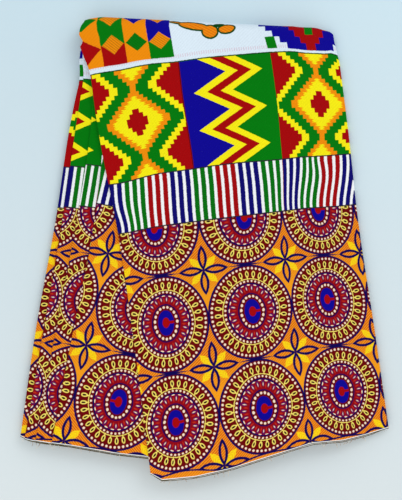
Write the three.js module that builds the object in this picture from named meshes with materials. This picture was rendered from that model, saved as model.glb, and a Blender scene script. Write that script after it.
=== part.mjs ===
// A length of printed cotton, folded back and forth into ten panels, then turned over once at
// its middle. It lies flat, with the turn at the back and the finished edges at the front.
// Millimetres, +Z up. The origin is under the middle of the bundle's box, on the surface it lies on.

import * as THREE from 'three';

const THICKNESS = 1.0;
const LAYER_PITCH = 1.3;
// The two innermost layers stand this far apart, so that they can turn over.
const TURN_GAP = 2.4;

const COTTON_COLOUR = 0xb5651d;
const COTTON_ROUGHNESS = 0.85;

// The middle of the bundle's box, in the coordinates of the tables below.
const MIDDLE_X = 0.78;
const MIDDLE_Y = 18.08;

// The turn runs straight across, a little lower on the right.
const TURN_Y = 297;
const TURN_SLOPE = -0.055;

// Lines that the folds follow, as x at five heights evenly spaced from the hem to the turn.
// A rounded corner draws a line in over its last stretch before the turn.
const LINES = [
  { name: 'strip1Fold', hem: -223, low: -209, middle: -190, high: -174.5, turn: -166, corner: 0 },
  { name: 'strip2Fold', hem: -217, low: -199, middle: -181, high: -166, turn: -161, corner: 0 },
  { name: 'strip3Fold', hem: -203, low: -183, middle: -162, high: -146, turn: -155, corner: 0 },
  { name: 'strip4Fold', hem: -183, low: -161, middle: -138.5, high: -130, turn: -150, corner: 0 },
  { name: 'frontLeft', hem: -63, low: -83.5, middle: -107, high: -137, turn: -158, corner: 0 },
  { name: 'stackRight', hem: 125, low: 122, middle: 118, high: 114, turn: 112, corner: 0 },
  { name: 'frontRight', hem: 224, low: 211, middle: 197, high: 188, turn: 175, corner: 9 },
];
const CORNER_START = 0.9;

// The finished edge of the front panel and of the strips behind it, as y at a few places across.
const FRONT_HEM = [
  { x: -63, y: -277 },
  { x: -50, y: -284 },
  { x: -10, y: -280 },
  { x: 31, y: -271 },
  { x: 67, y: -260 },
  { x: 129, y: -241 },
  { x: 167, y: -238 },
  { x: 197, y: -231 },
  { x: 224, y: -223 },
];
const STRIP_HEM = [
  { x: -223, y: -233 },
  { x: -216, y: -237 },
  { x: -160, y: -244 },
  { x: -107, y: -253 },
  { x: -69, y: -257 },
  { x: -20, y: -264 },
  { x: 40, y: -258 },
  { x: 100, y: -242 },
  { x: 130, y: -233 },
];

// The panels as they follow each other along the cloth. Level 9 is the outermost and level 0 the
// innermost. A panel runs from its first line to its second, each with an offset in x.
const PANELS = [
  { level: 8, from: 'frontRight', fromOffset: -4, to: 'frontLeft', toOffset: 0, part: 'front' },
  { level: 9, from: 'frontLeft', fromOffset: 0, to: 'frontRight', toOffset: 0, part: 'front' },
  { level: 7, from: 'frontRight', fromOffset: 0, to: 'strip4Fold', toOffset: 0, part: 'both' },
  { level: 6, from: 'strip4Fold', fromOffset: 0, to: 'stackRight', toOffset: -3, part: 'strips' },
  { level: 5, from: 'stackRight', fromOffset: -3, to: 'strip3Fold', toOffset: 0, part: 'strips' },
  { level: 4, from: 'strip3Fold', fromOffset: 0, to: 'stackRight', toOffset: -8, part: 'strips' },
  { level: 3, from: 'stackRight', fromOffset: -8, to: 'strip2Fold', toOffset: 0, part: 'strips' },
  { level: 2, from: 'strip2Fold', fromOffset: 0, to: 'stackRight', toOffset: 0, part: 'strips' },
  { level: 1, from: 'stackRight', fromOffset: 0, to: 'strip1Fold', toOffset: 0, part: 'strips' },
  { level: 0, from: 'strip1Fold', fromOffset: 0, to: 'stackRight', toOffset: -12, part: 'strips' },
];
const LEVELS = PANELS.length;
const TOP_STRIP_LEVEL = 7;
const STACK_TOP_LEVEL = 6;

// Where a layer ends, those above it keep its height for a margin and then sink.
const SINK_MARGIN = 6;
const LEFT_SINK = 45;
const HEM_SINK = 70;
const RIGHT_SINK_LEFT_OVER = 0.06;

// Places of the section's points on the part that sinks, from the stack's right edge to the fold.
const SINKING_SHARES = [0, 0.22, 0.42, 0.62, 0.84];
const HIDDEN_PART_SHARES = [0.35, 0.7];
const FRONT_PART_SHARES = [0.2, 0.45, 0.72];
const FIRST_HIDDEN_MARGIN = 10;

// The layer under the front panel's far end is drawn up so that its edge stays hidden.
const TOP_STRIP_HEM_LIFT = 5;
// The inner end of the cloth hangs a little below the front panel's hem.
const INNER_END_HEM_DROP = 1.5;

const FRONT_ROWS = [0, 0.03, 0.1, 0.22, 0.36, 0.5, 0.64, 0.77, 0.88, 0.95, 1];
const BACK_ROWS = [0.85, 0.62, 0.4, 0.2, 0.06, 0];
const TURN_STEPS = 6;
const FOLD_STEPS = 3;

// The lower half ends a little short of the upper one.
const BACK_HEM_LIFT = 6;

function smooth(share) {
  const s = Math.min(1, Math.max(0, share));
  return s * s * (3 - 2 * s);
}

function fade(share) {
  return 1 - smooth(share);
}

// A smooth curve through evenly spaced values.
function through(values, t) {
  const last = values.length - 1;
  const place = Math.min(last, Math.max(0, t * last));
  const i = Math.min(last - 1, Math.floor(place));
  const s = place - i;
  const before = values[i - 1] ?? 2 * values[i] - values[i + 1];
  const after = values[i + 2] ?? 2 * values[i + 1] - values[i];
  const a = (values[i + 1] - before) / 2;
  const b = (after - values[i]) / 2;
  const rise = values[i + 1] - values[i];
  return values[i] + s * (a + s * (3 * rise - 2 * a - b + s * (a + b - 2 * rise)));
}

function lineX(name, t) {
  const row = LINES.find((line) => line.name === name);
  const drawnIn = row.corner * smooth((t - CORNER_START) / (1 - CORNER_START));
  return through([row.hem, row.low, row.middle, row.high, row.turn], t) - drawnIn;
}

// The y of a straight-sided edge at x.
function along(table, x) {
  let i = 0;
  while (i < table.length - 2 && x > table[i + 1].x) {
    i += 1;
  }
  const share = (x - table[i].x) / (table[i + 1].x - table[i].x);
  return table[i].y + Math.min(1, Math.max(0, share)) * (table[i + 1].y - table[i].y);
}

function leftEdge(level, t) {
  const panel = PANELS.find((one) => one.level === level);
  const side = panel.to === 'stackRight' || panel.to === 'frontRight' ? panel.from : panel.to;
  return lineX(side, t);
}

// How much of its height a layer lends to those above it at a place: 1 wherever it lies.
function presence(level, x, y, t) {
  let share = fade((leftEdge(level, t) - x - SINK_MARGIN) / LEFT_SINK);
  if (level <= STACK_TOP_LEVEL) {
    const start = lineX('stackRight', t) + SINK_MARGIN;
    const width = lineX('frontRight', t) - start;
    const sunk = fade((x - start) / width);
    share *= RIGHT_SINK_LEFT_OVER + (1 - RIGHT_SINK_LEFT_OVER) * sunk;
  }
  if (level <= TOP_STRIP_LEVEL) {
    share *= fade((along(STRIP_HEM, x) - y - SINK_MARGIN) / HEM_SINK);
  }
  return share;
}

// Layers are counted up from the surface: the lower half is 0 to 9, the upper half 10 to 19.
function levelOf(layer) {
  return layer < LEVELS ? LEVELS - 1 - layer : layer - LEVELS;
}

function heightOf(layer, x, y, t) {
  let z = THICKNESS / 2;
  for (let under = 0; under < layer; under += 1) {
    const gap = under === LEVELS - 1 ? TURN_GAP : LAYER_PITCH;
    z += gap * presence(levelOf(under), x, y, t);
  }
  return z;
}

function hemY(point, x) {
  if (point.part === 'front') {
    return along(FRONT_HEM, x) - point.hemDrop;
  }
  if (point.sinking > 0) {
    return along(FRONT_HEM, x) + TOP_STRIP_HEM_LIFT * Math.sqrt(1 - point.sinking);
  }
  return along(STRIP_HEM, x);
}

function turnY(x) {
  return TURN_Y + TURN_SLOPE * x;
}

// Points of one panel, left to right, as functions of the height along the bundle.
function panelPoints(panel) {
  const left = (t) => leftEdge(panel.level, t);
  const rightName = panel.from === 'stackRight' || panel.from === 'frontRight' ? 'from' : 'to';
  const rightEnd = (t) => lineX(panel[rightName], t) + panel[`${rightName}Offset`];
  const stack = (t) => lineX('stackRight', t) + SINK_MARGIN;
  const between = (a, b, share) => (t) => a(t) + share * (b(t) - a(t));
  const base = { level: panel.level, part: panel.part, hemDrop: 0, sinking: 0, facing: 0 };
  const points = [{ ...base, x: left }];
  if (panel.part === 'front') {
    for (const share of FRONT_PART_SHARES) {
      points.push({ ...base, x: between(left, stack, share) });
    }
  } else {
    for (const name of ['strip2Fold', 'strip3Fold', 'strip4Fold']) {
      if (lineX(name, 0) > left(0)) {
        points.push({ ...base, x: (t) => lineX(name, t) });
      }
    }
    const strip4 = (t) => lineX('strip4Fold', t);
    const hidden = (t) => Math.max(strip4(t) + FIRST_HIDDEN_MARGIN, lineX('frontLeft', t));
    points.push({ ...base, x: between(strip4, hidden, 0.5) });
    points.push({ ...base, x: hidden });
    for (const share of HIDDEN_PART_SHARES) {
      points.push({ ...base, x: between(hidden, stack, share) });
    }
  }
  if (panel.part === 'strips') {
    points.push({ ...base, x: rightEnd });
    return points;
  }
  const fold = (t) => lineX('frontRight', t);
  for (const share of SINKING_SHARES) {
    points.push({ ...base, sinking: share, x: between(stack, fold, share) });
  }
  points.push({ ...base, sinking: 1, x: rightEnd });
  if (panel.level === LEVELS - 2) {
    const inner = points.slice(1, -1);
    inner.forEach((point) => {
      point.hemDrop = INNER_END_HEM_DROP;
    });
  }
  return points;
}

// The points of a fold between the last point of one panel and the first of the next.
function foldPoints(last, next, outward) {
  const points = [];
  for (let step = 1; step < FOLD_STEPS; step += 1) {
    const angle = (Math.PI * step) / FOLD_STEPS;
    points.push({ ...last, foldTo: next.level, angle, outward });
  }
  return points;
}

// The whole section, as a chain of points. The cloth's first face looks up where facing is 1.
function sectionPoints() {
  const chain = [];
  PANELS.forEach((panel, index) => {
    const goesRight = index % 2 === 1;
    const points = panelPoints(panel);
    if (!goesRight) {
      points.reverse();
    }
    if (index > 0) {
      chain.push(...foldPoints(chain.at(-1), points[0], goesRight ? -1 : 1));
    }
    points.forEach((point) => {
      point.facing = goesRight ? 1 : -1;
      chain.push(point);
    });
  });
  return chain;
}

// One point's place in a row of the upper or lower half, moved to one face of the cloth.
function placeInHalf(point, t, isUpper, face) {
  const lineHere = point.x(t);
  const hem = hemY(point, point.x(0)) + (isUpper ? 0 : BACK_HEM_LIFT);
  const y = hem + t * (turnY(point.x(1)) - hem);
  const layerOf = (level) => (isUpper ? LEVELS + level : LEVELS - 1 - level);
  const up = isUpper ? 1 : -1;
  const move = (face * THICKNESS) / 2;
  const height = heightOf(layerOf(point.level), lineHere, y, t);
  if (point.foldTo === undefined) {
    return { x: lineHere, y, z: height + up * point.facing * move };
  }
  const other = heightOf(layerOf(point.foldTo), lineHere, y, t);
  const centre = (height + other) / 2;
  const radius = Math.abs(height - other) / 2;
  const startsUp = point.level > point.foldTo ? 1 : -1;
  const outside = startsUp * point.facing;
  const reach = radius + outside * move;
  const x = lineHere + point.outward * reach * Math.sin(point.angle);
  return { x, y, z: centre + up * startsUp * reach * Math.cos(point.angle) };
}

function placeInTurn(point, angle, face) {
  const upper = placeInHalf(point, 1, true, face);
  const lower = placeInHalf(point, 1, false, face);
  const radius = (upper.z - lower.z) / 2;
  const centre = (upper.z + lower.z) / 2;
  const y = upper.y + radius * Math.sin(angle);
  return { x: upper.x, y, z: centre + radius * Math.cos(angle) };
}

// Rows of the closed section: along one face of the cloth and back along the other.
function sectionRows(chain) {
  const loop = [];
  chain.forEach((point) => loop.push({ point, face: 1 }));
  [...chain].reverse().forEach((point) => loop.push({ point, face: -1 }));
  const rows = [];
  for (const t of FRONT_ROWS) {
    rows.push(loop.map(({ point, face }) => placeInHalf(point, t, true, face)));
  }
  for (let step = 1; step <= TURN_STEPS; step += 1) {
    const angle = (Math.PI * step) / TURN_STEPS;
    rows.push(loop.map(({ point, face }) => placeInTurn(point, angle, face)));
  }
  for (const t of BACK_ROWS) {
    rows.push(loop.map(({ point, face }) => placeInHalf(point, t, false, face)));
  }
  return rows;
}

// The quads are cut the same way as seen from above, so that layers stay parallel.
function sweptSolid(rows) {
  const count = rows[0].length;
  const positions = rows.flat().flatMap(({ x, y, z }) => [x - MIDDLE_X, y - MIDDLE_Y, z]);
  const triangles = [];
  for (let r = 0; r < rows.length - 1; r += 1) {
    for (let i = 0; i < count; i += 1) {
      const next = (i + 1) % count;
      const a = r * count + i;
      const b = r * count + next;
      const goesRight = rows[r][next].x > rows[r][i].x;
      const goesBack = rows[r + 1][i].y > rows[r][i].y;
      if (goesRight === goesBack) {
        triangles.push(a, b, b + count, a, b + count, a + count);
      } else {
        triangles.push(a, b, a + count, b, b + count, a + count);
      }
    }
  }
  const lastRow = (rows.length - 1) * count;
  for (let i = 0; i < count / 2 - 1; i += 1) {
    const opposite = count - 1 - i;
    triangles.push(i, opposite, opposite - 1, i, opposite - 1, i + 1);
    const [a, b, c, d] = [i, i + 1, opposite - 1, opposite].map((v) => v + lastRow);
    triangles.push(a, b, c, a, c, d);
  }
  const geometry = new THREE.BufferGeometry();
  geometry.setAttribute('position', new THREE.Float32BufferAttribute(positions, 3));
  geometry.setIndex(triangles);
  geometry.computeVertexNormals();
  return geometry;
}

function cloth() {
  const material = new THREE.MeshStandardMaterial({
    color: COTTON_COLOUR,
    roughness: COTTON_ROUGHNESS,
    metalness: 0,
  });
  const mesh = new THREE.Mesh(sweptSolid(sectionRows(sectionPoints())), material);
  mesh.name = 'cloth';
  return mesh;
}

const bundle = new THREE.Group();
bundle.name = 'folded_cloth';
bundle.add(cloth());

export default bundle;
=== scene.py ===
# %% [markdown]
# # A folded length of printed cotton
# The cloth lies flat on a pale surface. It is folded back and forth into ten panels, and the whole
# bundle is turned over once at its middle, so that the finished edges lie together at the front.
# The scene is made in this order: the frame, the camera, the folds, the print, the threads along
# the edges, the floor and the light.

# %% The frame
import math

import bpy
import numpy as np
from mathutils import Color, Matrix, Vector


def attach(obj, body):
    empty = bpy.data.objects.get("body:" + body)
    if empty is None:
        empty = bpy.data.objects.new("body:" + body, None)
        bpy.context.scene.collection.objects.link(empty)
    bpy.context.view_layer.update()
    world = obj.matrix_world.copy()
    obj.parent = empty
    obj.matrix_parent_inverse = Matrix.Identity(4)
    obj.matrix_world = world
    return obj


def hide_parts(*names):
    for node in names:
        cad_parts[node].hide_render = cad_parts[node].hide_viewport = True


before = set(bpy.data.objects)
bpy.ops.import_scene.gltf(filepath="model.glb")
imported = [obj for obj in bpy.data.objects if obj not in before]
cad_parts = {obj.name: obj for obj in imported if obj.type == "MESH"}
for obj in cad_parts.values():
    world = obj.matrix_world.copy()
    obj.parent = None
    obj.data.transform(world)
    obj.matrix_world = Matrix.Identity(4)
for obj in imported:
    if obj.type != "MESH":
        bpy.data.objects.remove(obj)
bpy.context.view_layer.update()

# %% [markdown]
# ## The camera
# The cloth is seen from almost straight above, from its front side. The camera could be turned by
# three angles, but aiming it at one point keeps it level. It is placed first, because the sizes of
# the print are judged through it.

# %% The camera
MM = 0.001
# The folds are drawn in millimetres around this point, which is the middle of the bundle's box.
MIDDLE = np.array([0.78, 18.08, 0.0])
AIM = np.array([-4.0, -1.0, 12.0])
CAMERA_ELEVATION = math.radians(78.0)
CAMERA_DISTANCE = 1100.0
CAMERA_FIELD = math.radians(32.2)
SENSOR_HEIGHT = 24.0


def make_camera():
    back = CAMERA_DISTANCE * math.cos(CAMERA_ELEVATION)
    up = CAMERA_DISTANCE * math.sin(CAMERA_ELEVATION)
    data = bpy.data.cameras.new("camera")
    data.sensor_fit = "VERTICAL"
    data.sensor_height = SENSOR_HEIGHT
    data.lens = SENSOR_HEIGHT / 2 / math.tan(CAMERA_FIELD / 2)
    camera = bpy.data.objects.new("camera", data)
    camera.location = (AIM - MIDDLE + np.array([0.0, -back, up])) * MM
    camera.rotation_euler = (math.pi / 2 - CAMERA_ELEVATION, 0.0, 0.0)
    bpy.context.scene.collection.objects.link(camera)
    bpy.context.scene.camera = camera
    return camera


camera = make_camera()
print("camera at", [round(v, 3) for v in camera.location], "lens", round(camera.data.lens, 2))

# %% [markdown]
# ## The lines of the folds
# On the table, each panel of the cloth ends at a fold that wanders a little. A fold line could be a
# curve object, but the panels lie on each other and share their lines, so each line is a short list
# of x values at five heights between the finished edge and the turned end, joined smoothly.

# %% The lines of the folds
FOLD_LINES = {
    "strip_1": (-223, -209, -190, -174.5, -148),
    "strip_2": (-217, -199, -181, -166, -147),
    "strip_3": (-203, -183, -162, -146, -146),
    "strip_4": (-183, -161, -138.5, -130, -145),
    "front_left": (-63, -83.5, -107, -137, -158),
    "stack_right": (125, 122, 118, 114, 112),
    "front_right": (224, 211, 197, 188, 177),
}
CORNER_DRAWN_IN = 4.0
CORNER_START = 0.93
FRONT_HEM_X = (-63, -50, -10, 31, 67, 129, 167, 197, 224)
FRONT_HEM_Y = (-277, -284, -280, -271, -260, -241, -238, -231, -223)
STRIP_HEM_X = (-223, -216, -160, -107, -69, -20, 40, 100, 130)
STRIP_HEM_Y = (-233, -237, -244, -253, -257, -264, -258, -242, -233)
# Two panels meet at each line on the left. Level 0 is the innermost and level 9 the outermost.
LEFT_FOLDS = ("strip_1", "strip_2", "strip_3", "strip_4", "front_left")
LEFT_LINE = [name for name in LEFT_FOLDS for _ in range(2)]
# The turned end runs across at a slight slant.
TURN_LINE_Y = 297.0
TURN_LINE_SLOPE = 0.055


def smooth(share):
    share = np.clip(share, 0.0, 1.0)
    return share * share * (3.0 - 2.0 * share)


def fade(share):
    return 1.0 - smooth(share)


def share_between(value, ends):
    return (value - ends[0]) / (ends[1] - ends[0])


def line_x(name, t):
    values = np.array(FOLD_LINES[name], float)
    last = len(values) - 1
    place = np.clip(np.asarray(t, float) * last, 0, last)
    i = np.minimum(last - 1, np.floor(place)).astype(int)
    s = place - i
    here = values[i]
    after = values[i + 1]
    before = np.where(i > 0, values[np.maximum(i - 1, 0)], 2 * here - after)
    beyond = np.where(i + 2 <= last, values[np.minimum(i + 2, last)], 2 * after - here)
    a = (after - before) / 2
    b = (beyond - here) / 2
    rise = after - here
    x = here + s * (a + s * (3 * rise - 2 * a - b + s * (a + b - 2 * rise)))
    if name == "front_right":
        x = x - CORNER_DRAWN_IN * smooth((np.asarray(t) - CORNER_START) / (1 - CORNER_START))
    return x


def turn_y(x):
    return TURN_LINE_Y - TURN_LINE_SLOPE * x


front_width = float(line_x("front_right", 0.5) - line_x("front_left", 0.5))
print("the front panel is", round(front_width), "mm wide")

# %% [markdown]
# ## How the layers lie on each other
# A layer of cloth takes its height from what is under it. A physics simulation of twenty layers
# would be slow and would push them through each other. Here each layer lends its pitch to those
# above it wherever it lies, and where it ends they sink softly to the table.

# %% How the layers lie on each other
LEVELS = 10
FRONT_LEVEL = 9
TUCKED_LEVEL = 8
TOP_STRIP_LEVEL = 7
STACK_TOP_LEVEL = 6
CLOTH_THICKNESS = 0.55
LAYER_PITCH = 1.3
TURN_GAP = 2.4
LOWEST_HEIGHT = 0.5
BUNDLE_HEIGHT = 26.8
BACK_HEM_LIFT = 6.0
# How far past a panel's edge the layers above it begin to sink, and over what length they do.
SINK_MARGIN = 6.0
LEFT_SINK = 45.0
HEM_SINK = 70.0
# To the right of the stack, the panels that end there still lend this share of their pitch.
PAST_STACK_SHARE = 0.06


def presence(level, x, y, t):
    share = fade((line_x(LEFT_LINE[level], t) - x - SINK_MARGIN) / LEFT_SINK)
    if level <= STACK_TOP_LEVEL:
        start = line_x("stack_right", t) + SINK_MARGIN
        sunk = fade(share_between(x, (start, line_x("front_right", t))))
        share = share * (PAST_STACK_SHARE + (1 - PAST_STACK_SHARE) * sunk)
    if level <= TOP_STRIP_LEVEL:
        hem = np.interp(x, STRIP_HEM_X, STRIP_HEM_Y)
        share = share * fade((hem - y - SINK_MARGIN) / HEM_SINK)
    return share


def level_of(layer):
    return LEVELS - 1 - layer if layer < LEVELS else layer - LEVELS


def flat_height(layer, x, y, t):
    z = LOWEST_HEIGHT + 0.0 * x
    for under in range(layer):
        gap = TURN_GAP if under == LEVELS - 1 else LAYER_PITCH
        z = z + gap * presence(level_of(under), x, y, t)
    return z


# %% [markdown]
# ## Creases and swells
# Folded cotton is never quite flat. It keeps soft creases where it was folded before and swells
# between them. Noise would give the same bumps everywhere, so each trough and ridge is listed
# one by one, with its own length, width and height, and it dies out in the layers below.

# %% Creases and swells
# Each crease: x and y of its two ends, half its width, and its height (a trough is negative).
CREASES = (
    (118, 300, 126, 20, 9, 0.9),
    (136, 292, 142, 60, 12, -0.9),
    (126, 20, 150, -150, 13, 0.5),
    (-30, -250, 20, -120, 15, 0.5),
    (60, -232, 80, -140, 13, -0.6),
    (112, -225, 128, -150, 12, 0.6),
    (-95, 10, -40, 60, 14, -0.5),
    (-60, 150, 60, 175, 18, -0.45),
    (-120, 120, -60, 250, 14, 0.5),
    (-75, -235, -88, -120, 7, 0.6),
    (10, 230, 100, 215, 14, 0.4),
    (-20, -20, 90, -40, 22, -0.4),
    (-158, -205, -140, -110, 9, 0.4),
    (-178, -120, -165, -30, 7, -0.35),
)
# A crease fades out around each of its ends, over this share of its length.
CREASE_FADE = 0.25


def swell(x, y):
    total = 0.0 * x
    for x1, y1, x2, y2, half_width, height in CREASES:
        along_x = x2 - x1
        along_y = y2 - y1
        length = math.hypot(along_x, along_y)
        share = ((x - x1) * along_x + (y - y1) * along_y) / length**2
        aside = ((x - x1) * along_y - (y - y1) * along_x) / length
        ends = smooth(share / CREASE_FADE + 0.5) * smooth((1 - share) / CREASE_FADE + 0.5)
        total = total + height * ends * np.exp(-((aside / half_width) ** 2))
    return total


def lay_on(z, x, y):
    return z + swell(x, y) * (z / BUNDLE_HEIGHT) ** 2


print("the creases change the height by up to", max(abs(row[5]) for row in CREASES), "mm")

# %% [markdown]
# ## The corners of the turned end
# The turned end isn't square. Its roll bulges out on the left, where the corner also drops, and
# near the right end it rises a little. A lattice could bend the finished sheet, but it would be
# one more modifier to apply, so the same smooth rule moves the points before the mesh is made.

# %% The corners of the turned end
# How far the rolled left end bulges out at each y, and how far in from it the bulge still tells.
ROLL_Y = (225, 240, 258, 274, 282, 292, 303, 312, 330)
ROLL_OUT = (0, 2, 7, 10, 4.5, 9, 6, 1, 0)
ROLL_FROM_X = -160.0
ROLL_REACH = 30.0
# The drop on the left, and the rise near the right end and where it ends again. Each is in
# millimetres, with the x values between which it comes.
CORNER_DROP = 7.0
CORNER_DROP_X = (-172.0, -132.0)
RIGHT_LIFT = 10.0
RIGHT_LIFT_X = (120.0, 158.0)
RIGHT_LIFT_ENDS = 9.0
RIGHT_LIFT_END_X = (168.0, 182.0)
TURN_BEGINS_Y = (215.0, 290.0)


def draw_ends(points):
    x = points[:, 0]
    y = points[:, 1]
    out = np.interp(y, ROLL_Y, ROLL_OUT) * fade((x - ROLL_FROM_X) / ROLL_REACH)
    drop = CORNER_DROP * fade(share_between(x, CORNER_DROP_X))
    lift = RIGHT_LIFT * smooth(share_between(x, RIGHT_LIFT_X))
    lift = lift - RIGHT_LIFT_ENDS * smooth(share_between(x, RIGHT_LIFT_END_X))
    drawn = points.copy()
    drawn[:, 0] = x - out
    drawn[:, 1] = y + (lift - drop) * smooth(share_between(y, TURN_BEGINS_Y))
    return drawn


print("the roll bulges out by up to", max(ROLL_OUT), "mm on the left")

# %% [markdown]
# ## The section through all the panels
# Cut across, the cloth is one line that runs back and forth. It could be modelled panel by panel
# and joined, but a single chain of columns keeps it one sheet, as it really is. Each column knows
# its panel, where it stands across, and how far it has sunk beside the stack. Columns stand
# closest together on the panels that show.

# %% The stops of a panel
KNEE_MARGIN = 14.0
LEAST_VISIBLE = 12.0
STACK_EDGE_MARGIN = 6.0


def stack_edge(t):
    return line_x("stack_right", t) + STACK_EDGE_MARGIN


def right_end(level, offset, t):
    name = "front_right" if level >= TOP_STRIP_LEVEL else "stack_right"
    return line_x(name, t) + offset


def knee(level, t):
    left = line_x(LEFT_LINE[level], t) + LEAST_VISIBLE
    return np.maximum(left, line_x("front_left", t) + KNEE_MARGIN)


def panel_stops(level, offset, t):
    stops = [line_x(LEFT_LINE[level], t)]
    if level <= TOP_STRIP_LEVEL:
        stops.append(knee(level, t))
    if level >= TOP_STRIP_LEVEL:
        stops.append(stack_edge(t))
    stops.append(right_end(level, offset, t))
    return stops


top_stops = [round(float(x)) for x in panel_stops(TOP_STRIP_LEVEL, 0.0, 0.5)]
print("the top strip has stops at x:", top_stops)

# %% The columns of a panel
# The tucked panel's columns stand under the front panel's. Its free end is drawn in, so those
# past this share are left out.
TUCKED_END_SHARE = 0.9


def panel_columns(level, offset, counts):
    places = [(part, i / count) for part, count in enumerate(counts) for i in range(count)]
    if level == TUCKED_LEVEL:
        places = [place for place in places if place <= (1, TUCKED_END_SHARE)]
    places.append((len(counts) - 1, 1.0))
    panel = {"level": level, "offset": offset}
    return [{**panel, "segment": segment, "share": share} for segment, share in places]


def column_x(column, t):
    level = column["level"]
    stops = panel_stops(level, column["offset"], t)
    if level == TUCKED_LEVEL and column["share"] < 1.0:
        stops[-1] = right_end(level, 0.0, t)
    start = stops[column["segment"]]
    return start + column["share"] * (stops[column["segment"] + 1] - start)


# %% Where each column's edge ends
# The cut edges don't lie exactly on each other: each panel's edge ends a little lower.
HEM_DROP = (1.3, 0.3, 1.8, 0.6, 1.5, 0.4, 1.2, 0.0, 1.5, 0.0)
HEM_DROP_EASE = 18.0
# Past the stack, the top strip's edge joins the front panel's over this share of the way.
HEM_JOIN_SHARE = 0.2
TOP_STRIP_HEM_LIFT = 5.0


def column_hem(column):
    level = column["level"]
    x = float(column_x(column, 0.0))
    left = float(line_x(LEFT_LINE[level], 0.0))
    right = float(right_end(level, column["offset"], 0.0))
    ease = smooth((x - left) / HEM_DROP_EASE) * smooth((right - x) / HEM_DROP_EASE)
    drop = HEM_DROP[level] * float(ease)
    front = float(np.interp(x, FRONT_HEM_X, FRONT_HEM_Y))
    if level > TOP_STRIP_LEVEL:
        return front - drop
    strip = float(np.interp(x, STRIP_HEM_X, STRIP_HEM_Y))
    if level == TOP_STRIP_LEVEL:
        past_stack = share_between(x, (float(stack_edge(0.0)), right))
        sunk = min(1.0, max(0.0, past_stack))
        under_front = front + TOP_STRIP_HEM_LIFT * math.sqrt(1.0 - sunk)
        strip = strip + (under_front - strip) * float(smooth(sunk / HEM_JOIN_SHARE))
    return strip - drop


# %% The whole section
# The panels in their order along the cloth: level, which end comes first, the x offset of the
# right end, and how many columns stand between each two of the panel's stops.
PANELS = (
    (8, "right", -4.0, (16, 20)),
    (9, "left", 0.0, (44, 20)),
    (7, "right", 0.0, (18, 10, 20)),
    (6, "left", -3.0, (18, 8)),
    (5, "right", -3.0, (18, 8)),
    (4, "left", -8.0, (18, 8)),
    (3, "right", -8.0, (18, 8)),
    (2, "left", 0.0, (18, 8)),
    (1, "right", 0.0, (18, 8)),
    (0, "left", -12.0, (18, 8)),
)
FOLD_STEPS = 4


def fold_columns(last, next_level, outward):
    folds = []
    for step in range(1, FOLD_STEPS):
        angle = math.pi * step / FOLD_STEPS
        folds.append({**last, "fold_to": next_level, "angle": angle, "outward": outward})
    return folds


def whole_section():
    chain = []
    for level, first_end, offset, counts in PANELS:
        columns = panel_columns(level, offset, counts)
        goes_right = first_end == "left"
        if not goes_right:
            columns.reverse()
        for column in columns:
            column["facing"] = 1 if goes_right else -1
        if chain:
            chain += fold_columns(chain[-1], level, -1 if goes_right else 1)
        chain += columns
    return chain


section = whole_section()
print("the section has", len(section), "columns")

# %% [markdown]
# ## Where the print falls on each panel
# The print is one flat drawing: u runs along the cloth and v runs from the finished edge to the
# turned end, both in millimetres. An automatic unwrap would forget where the repeats begin, so
# each panel gets u and v from its own place. The bands of stripes and blocks keep a repeat of
# their own, w, that runs beside u. Panels between two that show are stretched to join them.

# %% Where the print falls on the front panel
# On the front panel: u and v in its middle, and how they grow with each millimetre of x and y.
FRONT_U = (112.2, 1.02, 0.108)
FRONT_V = (275.0, -0.125, 0.97)
# Its rows lean differently below the middle, and open out towards the turned end.
FRONT_V_TWIST = 0.00035
FRONT_V_BEND = -0.00013
# Past a slanting line on the right it is drawn together along the cloth.
SIDE_SQUEEZE = 0.1
SIDE_SQUEEZE_X = 100.0
SIDE_SQUEEZE_SLANT = 0.12
# Near the left fold it sits lower: how much, and where that begins and ends.
LEFT_LOWERED = 5.0
LEFT_LOWERED_X = (-50.0, -110.0)
LEFT_LOWERED_Y = (0.0, 100.0)
LEFT_LOWERED_END_Y = (230.0, 300.0)
# The bands slip along the cloth against the medallions. Each slip comes between two x or y values.
FAN_SLIP = (2.5, -0.065)
FAN_SLIP_Y = (100.0, 210.0)
EVEN_SLIP = -1.7
EVEN_SLIP_Y = (40.0, 90.0)
TURN_SLIP = 0.05
TURN_SLIP_Y = 250.0
SIDE_SLIP = 14.0
SIDE_SLIP_X = (78.0, 136.0)
SIDE_SLIP_END_Y = (50.0, 120.0)
# Cloth that is handled shifts a little: x, y, how far the print is pulled there, and the reach.
PULLS_U = (
    (-63, 22, 3.5, 40),
    (48, 40, -6.0, 40),
    (62, -85, -2.6, 38),
    (73, -200, -3.0, 38),
    (108, -20, 2.6, 30),
    (112, -132, 4.2, 38),
    (152, -66, 4.4, 38),
    (168, -179, 1.6, 34),
    (212, -116, -3.4, 34),
)
PULLS_V = (
    (-110, 17, 3.2, 34),
    (-119, 81, 1.8, 30),
    (-135, 236, -2.0, 30),
    (-89, 243, -2.8, 30),
    (-38, 257, 0.8, 30),
    (36, 109, -1.6, 40),
    (156, 272, 9.5, 32),
    (189, 128, -3.5, 40),
    (191, 59, -2.0, 34),
    (-47, -96, -2.5, 40),
    (152, -66, -2.0, 40),
    (12, -150, 1.5, 34),
    (73, -200, 4.0, 38),
    (128, -237, -5.0, 34),
    (25, -266, 3.7, 30),
    (-86, 165, -1.8, 40),
    (-64, 288, 4.0, 26),
)
PULLS_W = ((-108, 21, -7.0, 24), (150, 118, 5.0, 16), (-86, 165, 1.6, 30))


def pulled(x, y, pulls):
    total = 0.0 * x + 0.0 * y
    for at_x, at_y, amount, reach in pulls:
        total = total + amount * np.exp(-((x - at_x) ** 2 + (y - at_y) ** 2) / reach**2)
    return total


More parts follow.
